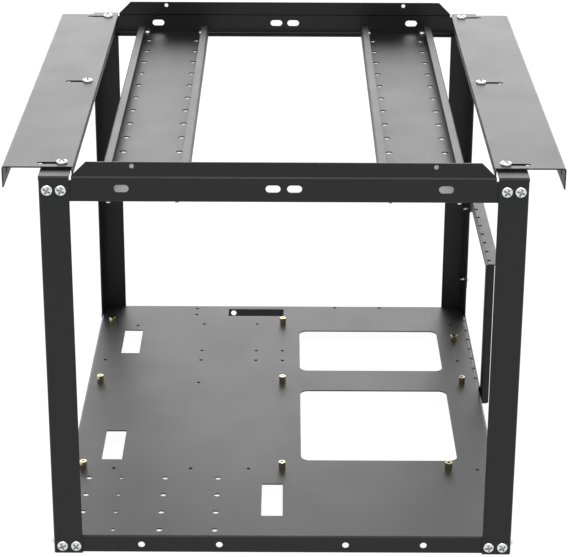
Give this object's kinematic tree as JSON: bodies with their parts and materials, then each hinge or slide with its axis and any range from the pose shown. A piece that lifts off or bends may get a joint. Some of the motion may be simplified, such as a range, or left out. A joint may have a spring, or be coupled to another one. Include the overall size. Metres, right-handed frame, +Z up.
{
  "type": "mining rig frame",
  "caption": "Open frame of folded black sheet: a slotted board tray with brass standoffs, corner posts, a card slot bracket, lipped channels and sliding slotted wings between top rails.",
  "frame": {"origin": "middle of the base of the bounding box, on the floor under the frame's centre", "axes": "+X to the right seen from the front, +Y from the front to the rear, +Z up"},
  "size_m": [0.388, 0.438, 0.3026],
  "materials": {
    "tray_coat": "satin black powder coat",
    "frame_coat": "satin black powder coat",
    "top_coat": "satin black powder coat",
    "brass": "turned brass",
    "zinc": "bright zinc plate"
  },
  "bodies": {
    "frame": {"base_tray": "tray_coat", "standoffs": "brass", "slot_bracket": "frame_coat", "post_front_left": "frame_coat", "post_front_right": "frame_coat", "post_rear_left": "frame_coat", "post_rear_right": "frame_coat", "top_rail_front": "frame_coat", "top_rail_rear": "frame_coat", "side_rail_left": "frame_coat", "side_rail_right": "frame_coat", "channel_left": "top_coat", "channel_right": "top_coat", "front_top_screws": "zinc", "rear_top_screws": "zinc", "front_base_screws": "zinc", "rear_base_screws": "zinc", "side_base_screws": "zinc", "wing_screws_left": "zinc", "wing_screws_right": "zinc", "channel_screws_left": "zinc", "channel_screws_right": "zinc", "bracket_screws": "zinc"},
    "wing_left": {"wing_left": "top_coat"},
    "wing_right": {"wing_right": "top_coat"}
  },
  "joints": [
    {"name": "wing_left_slide", "type": "slide", "parent": "frame", "child": "wing_left", "axis": [1, 0, 0], "range_m": [0, 0.015]},
    {"name": "wing_right_slide", "type": "slide", "parent": "frame", "child": "wing_right", "axis": [-1, 0, 0], "range_m": [0, 0.015]}
  ]
}
